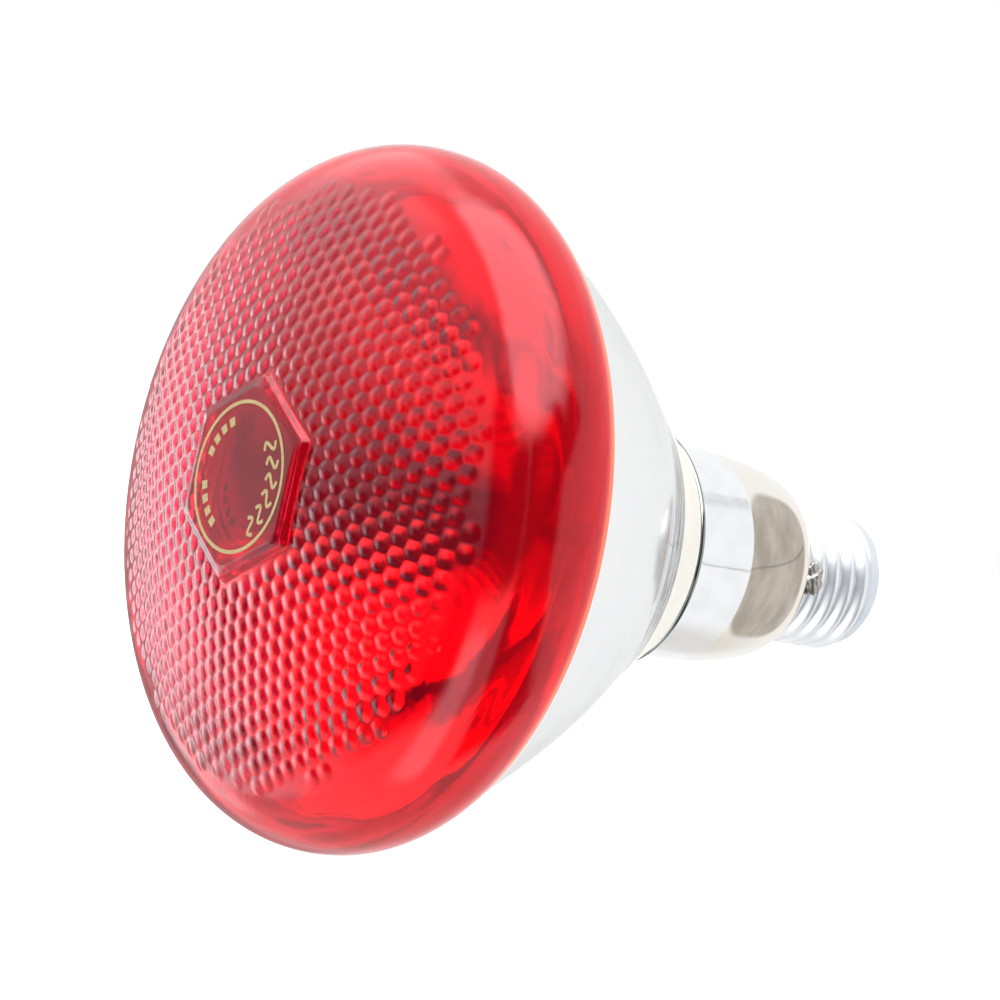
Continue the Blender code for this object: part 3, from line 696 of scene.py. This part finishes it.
def make_print(look):
    """Gold ring on the boss, with generic heat-wave marks in place of lettering."""
    inner = PRINT_RADIUS - PRINT_WIDTH / 2
    outer = PRINT_RADIUS + PRINT_WIDTH / 2
    front = 0.0
    back = BOSS_TOP_DEPTH + 0.02
    outline = [(front, outer), (back, outer), (back, inner), (front, inner)]
    ring = lathe("print_ring", outline, look, ROUND)
    strokes = [(wave_route(bearing), PRINT_WIDTH) for bearing in WAVE_BEARINGS]
    for middle in BAR_GROUPS:
        strokes += [(bar_route(middle + offset), BAR_WIDTH) for offset in BAR_OFFSETS]
    verts = []
    faces = []
    for route, width in strokes:
        points, sides = ribbon(route, width, front, back)
        start = len(verts)
        verts.extend(points)
        faces.extend(tuple(start + i for i in side) for side in sides)
    marks = add_mesh("print_marks", verts, faces, look)
    return ring, marks


# --- reflector --------------------------------------------------------------------------


def bowl_radius(depth):
    """Outer radius of the parabolic bowl."""
    start = SEAM_RADIUS - 0.3
    return math.sqrt(start**2 - 4 * BOWL_FOCAL * (depth - SEAM_DEPTH - 0.3))


def outside_radius(depth):
    """Radius of the bowl or, behind it, of the cone."""
    if depth <= BOWL_END:
        return bowl_radius(depth)
    share = (depth - BOWL_END) / (CONE_END[0] - BOWL_END)
    straight = bowl_radius(BOWL_END) * (1 - share) + CONE_END[1] * share
    return straight - CONE_SAG * math.sin(share * math.pi)


def mirror_depth(radius):
    """Depth of the bowl's parabolic inner face."""
    return MIRROR_VERTEX - (MIRROR_VERTEX - SEAM_DEPTH - 0.3) * (radius / MIRROR_RIM) ** 2


def make_bowl(look):
    """Glass bowl, cone and neck, with its thick back wall."""
    bowl = np.linspace(BOWL_FRONT + 0.35, BOWL_END, 40)
    outline = [(BOWL_FRONT, bowl_radius(BOWL_FRONT + 0.35) - 0.35)]
    outline += [(d, bowl_radius(d)) for d in bowl]
    outline += [(d, outside_radius(d)) for d in np.linspace(BOWL_END + 1.0, 71.4, 6)]
    outline += [(d, outside_radius(d) - drop) for d, drop in COATING_STEP]
    outline += [(d, outside_radius(d)) for d in np.linspace(74.6, CONE_END[0] - 0.45, 8)]
    outline += arc(CONE_END[0] - 0.76, CONE_END[1] - 0.15, 0.6, 130, 180, 6)
    outline += [(83.25, 21.3), (83.3, NECK_RADIUS + 1.2), (83.5, NECK_RADIUS + 0.3),
                (83.9, NECK_RADIUS), (NECK_END, NECK_RADIUS), (NECK_END, NECK_RADIUS - NECK_WALL),
                (BACK_WALL, NECK_RADIUS - NECK_WALL), (BACK_WALL, PINHOLE)]
    inner = np.linspace(PINHOLE, MIRROR_RIM, 48)
    outline += [(mirror_depth(r), r) for r in inner]
    outline.append((BOWL_FRONT, MIRROR_RIM + 0.1))
    return lathe("bowl_glass", outline, look, ROUND)


def make_film(look):
    """Aluminium film just inside the glass, and the silvering under the bowl's outside."""
    radii = np.linspace(MIRROR_HOLE, MIRROR_RIM - 0.9, 44)
    back = [(mirror_depth(r) - 0.05, r) for r in radii]
    front = [(d - FILM, r) for d, r in back]
    film = lathe("mirror_film", (back + front[::-1])[::-1], look, ROUND)
    depths = np.linspace(SEAM_DEPTH + 1.0, COATING_END, 50)
    outer = [(d, outside_radius(d) - 0.7) for d in depths]
    inner = [(d, r - FILM) for d, r in outer]
    silver = lathe("neck_silvering", outer + inner[::-1], look, ROUND)
    return film, silver


# --- cap --------------------------------------------------------------------------------


def shoulder(start_radius, end_radius, steps):
    """Quarter of an ellipse that begins at a crease and is drawn in to the shell."""
    first, last = math.radians(9), math.radians(72)
    reach = SKIRT_END[0] - SHOULDER_START
    drop = start_radius - end_radius
    points = []
    for a in np.linspace(first, last, steps):
        along = (math.sin(a) - math.sin(first)) / (math.sin(last) - math.sin(first))
        down = (math.cos(first) - math.cos(a)) / (math.cos(first) - math.cos(last))
        points.append((SHOULDER_START + reach * along, start_radius - drop * down))
    return points


def make_skirt(look):
    """Drawn skirt with a rolled lip, a crease and a beaded end."""
    d, r = SKIRT_LIP
    outline = arc(d + 0.65, r - 0.65, 0.65, -20, 120, 10)
    outline += [(d + 1.35, r - 1.3), (d + 1.6, r - 2.1), (d + 2.0, r - 2.55),
                (d + 2.6, SKIRT_RADIUS + 0.02), (d + 3.4, SKIRT_RADIUS)]
    outline += [(x, SKIRT_RADIUS) for x in np.linspace(d + 4.6, SHOULDER_START - 0.2, 8)]
    outline += shoulder(SKIRT_RADIUS, SKIRT_END[1] + 0.15, 26)[:-1]
    outline += arc(SKIRT_END[0] - 0.45, SKIRT_END[1] - 0.35, 0.45, 60, 200, 8)
    inner_end = SKIRT_END[1] - 1.1
    outline.append((SKIRT_END[0] - 0.6, inner_end))
    inside = shoulder(SKIRT_RADIUS - SKIRT_WALL, inner_end, 14)
    outline += [(x - 0.6, y) for x, y in inside[::-1]]
    outline += [(d + 3.2, SKIRT_RADIUS - SKIRT_WALL), (d + 1.5, r - 3.35), (d + 0.9, r - 2.6),
                (d + 0.7, r - 1.4)]
    return lathe("cap_skirt", outline, look, ROUND, sharp_angle=6.0)


def thread_radius(depth, turn):
    """Radius of the rolled thread, which fades out at both ends."""
    wave = 0.5 + 0.5 * np.cos(math.tau * ((depth - THREAD_START) / THREAD_PITCH - turn))
    fade_in = smooth(depth, THREAD_START - 0.2, THREAD_START + 2.6)
    fade_out = 1 - smooth(depth, THREAD_END - 2.2, THREAD_END + 0.4)
    root = CREST_RADIUS - THREAD_HEIGHT
    return root + THREAD_HEIGHT * wave**0.75 * fade_in * fade_out


def make_shell(look):
    """Screw shell of rolled sheet, with its thread on both faces."""
    turn = np.arange(SHELL_SIDES) / SHELL_SIDES
    plain = CREST_RADIUS - THREAD_HEIGHT
    front = (111.0, 113.0, 115.0, 116.4)
    thread = np.linspace(THREAD_START - 0.2, THREAD_END + 0.4, 110)
    rows = [(d, plain) for d in front]
    rows += [(d, thread_radius(d, turn)) for d in thread]
    rows += arc(135.9, 10.4, 1.65, 92, 175, 9)
    rows += [(136.9, 9.9), (136.2, 10.6), (135.4, 11.2)]
    rows += [(d, np.minimum(thread_radius(d, turn) - SHEET, plain + 0.5)) for d in thread[::-2]]
    rows += [(d, plain - SHEET) for d in front[::-1]]
    points = np.empty((len(rows), SHELL_SIDES, 3))
    for i, (depth, radius) in enumerate(rows):
        points[i, :, 0] = radius * np.sin(turn * math.tau) * MM
        points[i, :, 1] = depth * MM + FRONT
        points[i, :, 2] = radius * np.cos(turn * math.tau) * MM
    faces = grid_faces(len(rows), SHELL_SIDES, True)
    return add_mesh("cap_shell", points.reshape(-1, 3), faces, look, 40.0)


def make_cap_end(looks):
    """Insulator, eyelet and solder at the tip."""
    insulator = [(133.8, 2.2), (133.6, 9.3), (134.4, 10.4), (136.3, 10.2), (137.0, 9.6),
                 (137.9, 9.0), (138.6, 7.6), (139.0, 6.2), (139.0, 2.2)]
    keep(lathe("cap_insulator", insulator, looks["black_glass"], FINE), "black_glass",
         "base_insulator")
    eyelet = [(139.1, 1.6), (139.1, 5.3), (139.5, 5.4), (140.0, 5.2), (140.5, 4.6),
              (140.8, 3.8), (140.8, 1.6)]
    keep(lathe("cap_eyelet", eyelet, looks["brass"], FINE), "brass", "centre_contact")
    tip = [(140.9, PINHOLE), (140.9, 3.0), (141.1, 3.05), (141.4, 2.7), (141.7, 2.1),
           (141.9, 1.3), (142.0, 0.6), (142.0, PINHOLE)]
    keep(lathe("tip_solder", tip, looks["solder"], FINE), "solder", "centre_solder")


def make_side_solder(look):
    """Lumpy blob of solder beside the skirt's end."""
    bpy.ops.mesh.primitive_ico_sphere_add(subdivisions=5, radius=1.0)
    piece = bpy.context.object
    piece.name = "side_solder_blob"
    piece.data.name = "side_solder_blob"
    x, depth, z = SOLDER_PLACE
    centre = Vector((x * MM, FRONT + depth * MM, z * MM))
    for vert in piece.data.vertices:
        p = vert.co.copy()
        lump = 1 + 0.10 * math.sin(5.1 * p.x + 2.3 * p.z) + 0.09 * math.sin(6.7 * p.z - 3.1 * p.y)
        lump += 0.05 * math.sin(11.0 * p.y + 7.0 * p.z)
        vert.co = centre + p * Vector(SOLDER_REACH) * (lump * MM)
    piece.data.materials.append(look)
    piece.data.shade_smooth()
    return piece


# --- carried-over nodes -----------------------------------------------------------------

def dress_frame_nodes(looks):
    """Gives the hidden CAD pieces that stay their procedural materials."""
    for entry in frame["record"]["subparts"]:
        node = frame["nodes"][entry["node"]]
        node.data.materials.clear()
        node.data.materials.append(looks[entry["material_slot"]])
        node.data.shade_smooth()
        node.data.set_sharp_from_angle(angle=math.radians(35))


# --- stage ------------------------------------------------------------------------------

UP = Vector((0.207, -0.406, 0.890))            # the room's up: the lamp lies on its side
TOWARDS = Vector((0.785, -0.475, -0.399))      # level, from the lamp to the photographer
RIGHT = Vector((0.585, 0.781, 0.220))
FLOOR_RADIUS = 7.0
FLOOR_HEIGHT = -0.34


def room_directions(tree):
    """How far a ray leans up, towards the photographer and to the right, each from -1 to 1."""
    where = tree.nodes.new("ShaderNodeTexCoord")
    leanings = []
    for direction in (UP, TOWARDS, RIGHT):
        dot = tree.nodes.new("ShaderNodeVectorMath")
        dot.operation = "DOT_PRODUCT"
        tree.links.new(where.outputs["Generated"], dot.inputs[0])
        dot.inputs[1].default_value = direction.normalized()
        leanings.append(dot.outputs["Value"])
    return leanings


def room_colour(tree):
    """The room that the glass and metal mirror and bend: white, with bright and dark patches."""
    up, towards, right = room_directions(tree)

    def band(value, low, high, soft):
        """1 between low and high, with soft edges."""
        begun = tree.step(value, low - soft, low + soft)
        return tree.times(begun, tree.inverse(tree.step(value, high - soft, high + soft)))

    def patch(under, brightness, across, facing, height, soft=0.08):
        """A bright or dark patch between limits of right, towards and up."""
        area = tree.times(band(right, *across, soft), band(towards, *facing, soft))
        area = tree.times(area, band(up, *height, soft))
        return tree.mix(area, under, rgb(*brightness))

    # walls, and the warm ground far below
    sky = tree.mix(tree.step(up, -0.8, 0.2), rgb(0.97, 0.98, 0.98), rgb(1.0, 1.0, 1.0))
    sky = tree.mix(band(up, -2.0, -0.90, 0.08), sky, rgb(0.78, 0.75, 0.71))

    # lit panels to the left and beyond the lamp, and a grey one low down
    white = (1.9, 1.9, 1.9)
    sky = patch(sky, white, (-2.0, -0.58), (-0.80, -0.35), (0.10, 2.0))
    sky = patch(sky, (2.2, 2.2, 2.2), (-2.0, -0.60), (-0.80, -0.30), (-0.75, -0.32))
    sky = patch(sky, white, (-2.0, -0.10), (-2.0, -0.60), (0.15, 2.0))
    glare = tree.times(band(right, -2.0, -0.55, 0.10), band(up, -0.50, -0.10, 0.07))
    glare = tree.times(glare, tree.inverse(tree.step(towards, -0.5, 0.25)))
    sky = tree.mix(glare, sky, rgb(4.2, 4.2, 4.4))
    sky = patch(sky, (0.45, 0.45, 0.46), (-0.66, -0.10), (-2.0, -0.55), (-2.0, -0.26))

    # bright table in front, and the softbox overhead
    sky = patch(sky, (2.6, 2.6, 2.6), (-0.62, -0.27), (0.55, 2.0), (-0.75, 0.06))
    sky = patch(sky, (4.2, 4.2, 4.2), (-0.34, 2.0), (-2.0, 2.0), (0.76, 2.0))

    # dark parts of the room on the photographer's side
    dark = (0.03, 0.026, 0.04)
    sky = patch(sky, dark, (-2.0, -0.60), (0.05, 0.85), (-0.28, 0.34), 0.10)
    sky = patch(sky, dark, (-0.75, 0.0), (0.30, 2.0), (0.20, 0.80), 0.08)
    sky = patch(sky, dark, (0.0, 0.66), (0.35, 2.0), (-0.80, 0.80), 0.06)
    sky = patch(sky, dark, (0.35, 2.0), (0.08, 2.0), (0.48, 0.68), 0.05)

    # pale window to the right, with a thin dark line above and below it
    window = tree.times(band(right, 0.70, 2.0, 0.03), band(towards, -0.5, 0.60, 0.03))
    for height in (-0.13, 0.42):
        line = tree.times(window, band(up, height - 0.006, height + 0.006, 0.006))
        sky = tree.mix(line, sky, rgb(0.20, 0.27, 0.28))
    return tree.mix(tree.times(window, band(up, -0.11, 0.42, 0.01)), sky, rgb(0.98, 0.98, 0.99))


def make_world():
    """Lights the lamp with the room, which the camera itself sees as plain white."""
    world = bpy.data.worlds.new("studio")
    bpy.context.scene.world = world
    tree = Tree(world)
    room = tree.nodes["Background"]
    tree.links.new(room_colour(tree), room.inputs["Color"])
    seen = tree.nodes.new("ShaderNodeBackground")
    seen.inputs["Color"].default_value = rgb(1.0, 1.0, 1.0)
    path = tree.nodes.new("ShaderNodeLightPath")
    blend = tree.nodes.new("ShaderNodeMixShader")
    tree.links.new(path.outputs["Is Camera Ray"], blend.inputs[0])
    tree.links.new(room.outputs[0], blend.inputs[1])
    tree.links.new(seen.outputs[0], blend.inputs[2])
    tree.links.new(blend.outputs[0], tree.nodes["World Output"].inputs["Surface"])


def make_floor():
    """Plain pale floor well below the lamp, which its holder carries."""
    bpy.ops.mesh.primitive_circle_add(vertices=96, radius=FLOOR_RADIUS, fill_type="NGON",
                                      location=(0.0, 0.0, FLOOR_HEIGHT))
    floor = bpy.context.object
    floor.name = "floor"
    made, tree, shader = surface("floor_look", Roughness=0.9)
    paint = tree.mix(tree.noise(0.02, 3.0), rgb(0.93, 0.93, 0.93), rgb(0.97, 0.97, 0.97))
    tree.feed(shader.inputs["Base Color"], paint)
    shader.inputs["Specular IOR Level"].default_value = 0.0
    floor.data.materials.append(made)
    floor.visible_glossy = False
    floor.visible_transmission = False


def make_lights():
    """Two soft lamps above, one on the lens' side and a weaker one on the cap's side.

    The metal and glass don't mirror them.
    """
    for name, place, size, power in (
        ("key", Vector((-0.5, -0.9, 1.3)), 1.2, 9.0),
        ("fill", Vector((1.2, 0.6, 0.9)), 1.0, 4.5),
    ):
        data = bpy.data.lights.new(name, "AREA")
        data.shape = "SQUARE"
        data.size = size
        data.energy = power
        lamp = bpy.data.objects.new(name, data)
        lamp.location = place
        aim = (Vector((0.0, -0.08, 0.0)) - place).to_track_quat("-Z", "Y")
        lamp.rotation_mode = "QUATERNION"
        lamp.rotation_quaternion = aim
        bpy.context.scene.collection.objects.link(lamp)
        lamp.visible_glossy = False


def make_camera():
    """Long lens from the front right of the lamp, rolled so that the lamp lies aslant."""
    data = bpy.data.cameras.new("camera")
    data.sensor_width = 36.0
    data.lens = CAMERA_LENS
    data.clip_start = 0.01
    data.clip_end = 50.0
    camera = bpy.data.objects.new("camera", data)
    azimuth = math.radians(CAMERA_AZIMUTH)
    elevation = math.radians(CAMERA_ELEVATION)
    back = Vector((math.sin(azimuth) * math.cos(elevation),
                   -math.cos(azimuth) * math.cos(elevation), math.sin(elevation)))
    camera.location = CAMERA_AIM + back * CAMERA_DISTANCE
    level = (-back).to_track_quat("-Z", "Y")
    camera.rotation_mode = "QUATERNION"
    camera.rotation_quaternion = level @ Quaternion((0, 0, 1), math.radians(CAMERA_ROLL))
    bpy.context.scene.collection.objects.link(camera)
    bpy.context.scene.camera = camera


def build():
    """Makes every visible piece, then the stage around it."""
    bpy.context.scene.view_settings.view_transform = "Standard"
    looks = make_looks()
    dress_frame_nodes(looks)
    keep(make_lens(looks["red_glass"]), "red_glass", "lens")
    ring, marks = make_print(looks["gold_ink"])
    keep(ring, "gold_ink", "gold_print")
    keep(marks, "gold_ink")
    keep(make_bowl(looks["clear_glass"]), "clear_glass", "reflector")
    film, silvering = make_film(looks["aluminium_film"])
    keep(film, "aluminium_film", "mirror_coating")
    keep(silvering, "aluminium_film")
    keep(make_skirt(looks["skirt_metal"]), "skirt_metal", "base_skirt")
    keep(make_shell(looks["shell_metal"]), "shell_metal", "screw_shell")
    make_cap_end(looks)
    keep(make_side_solder(looks["solder"]), "solder", "side_solder")
    make_camera()
    make_world()
    make_floor()
    make_lights()


build()
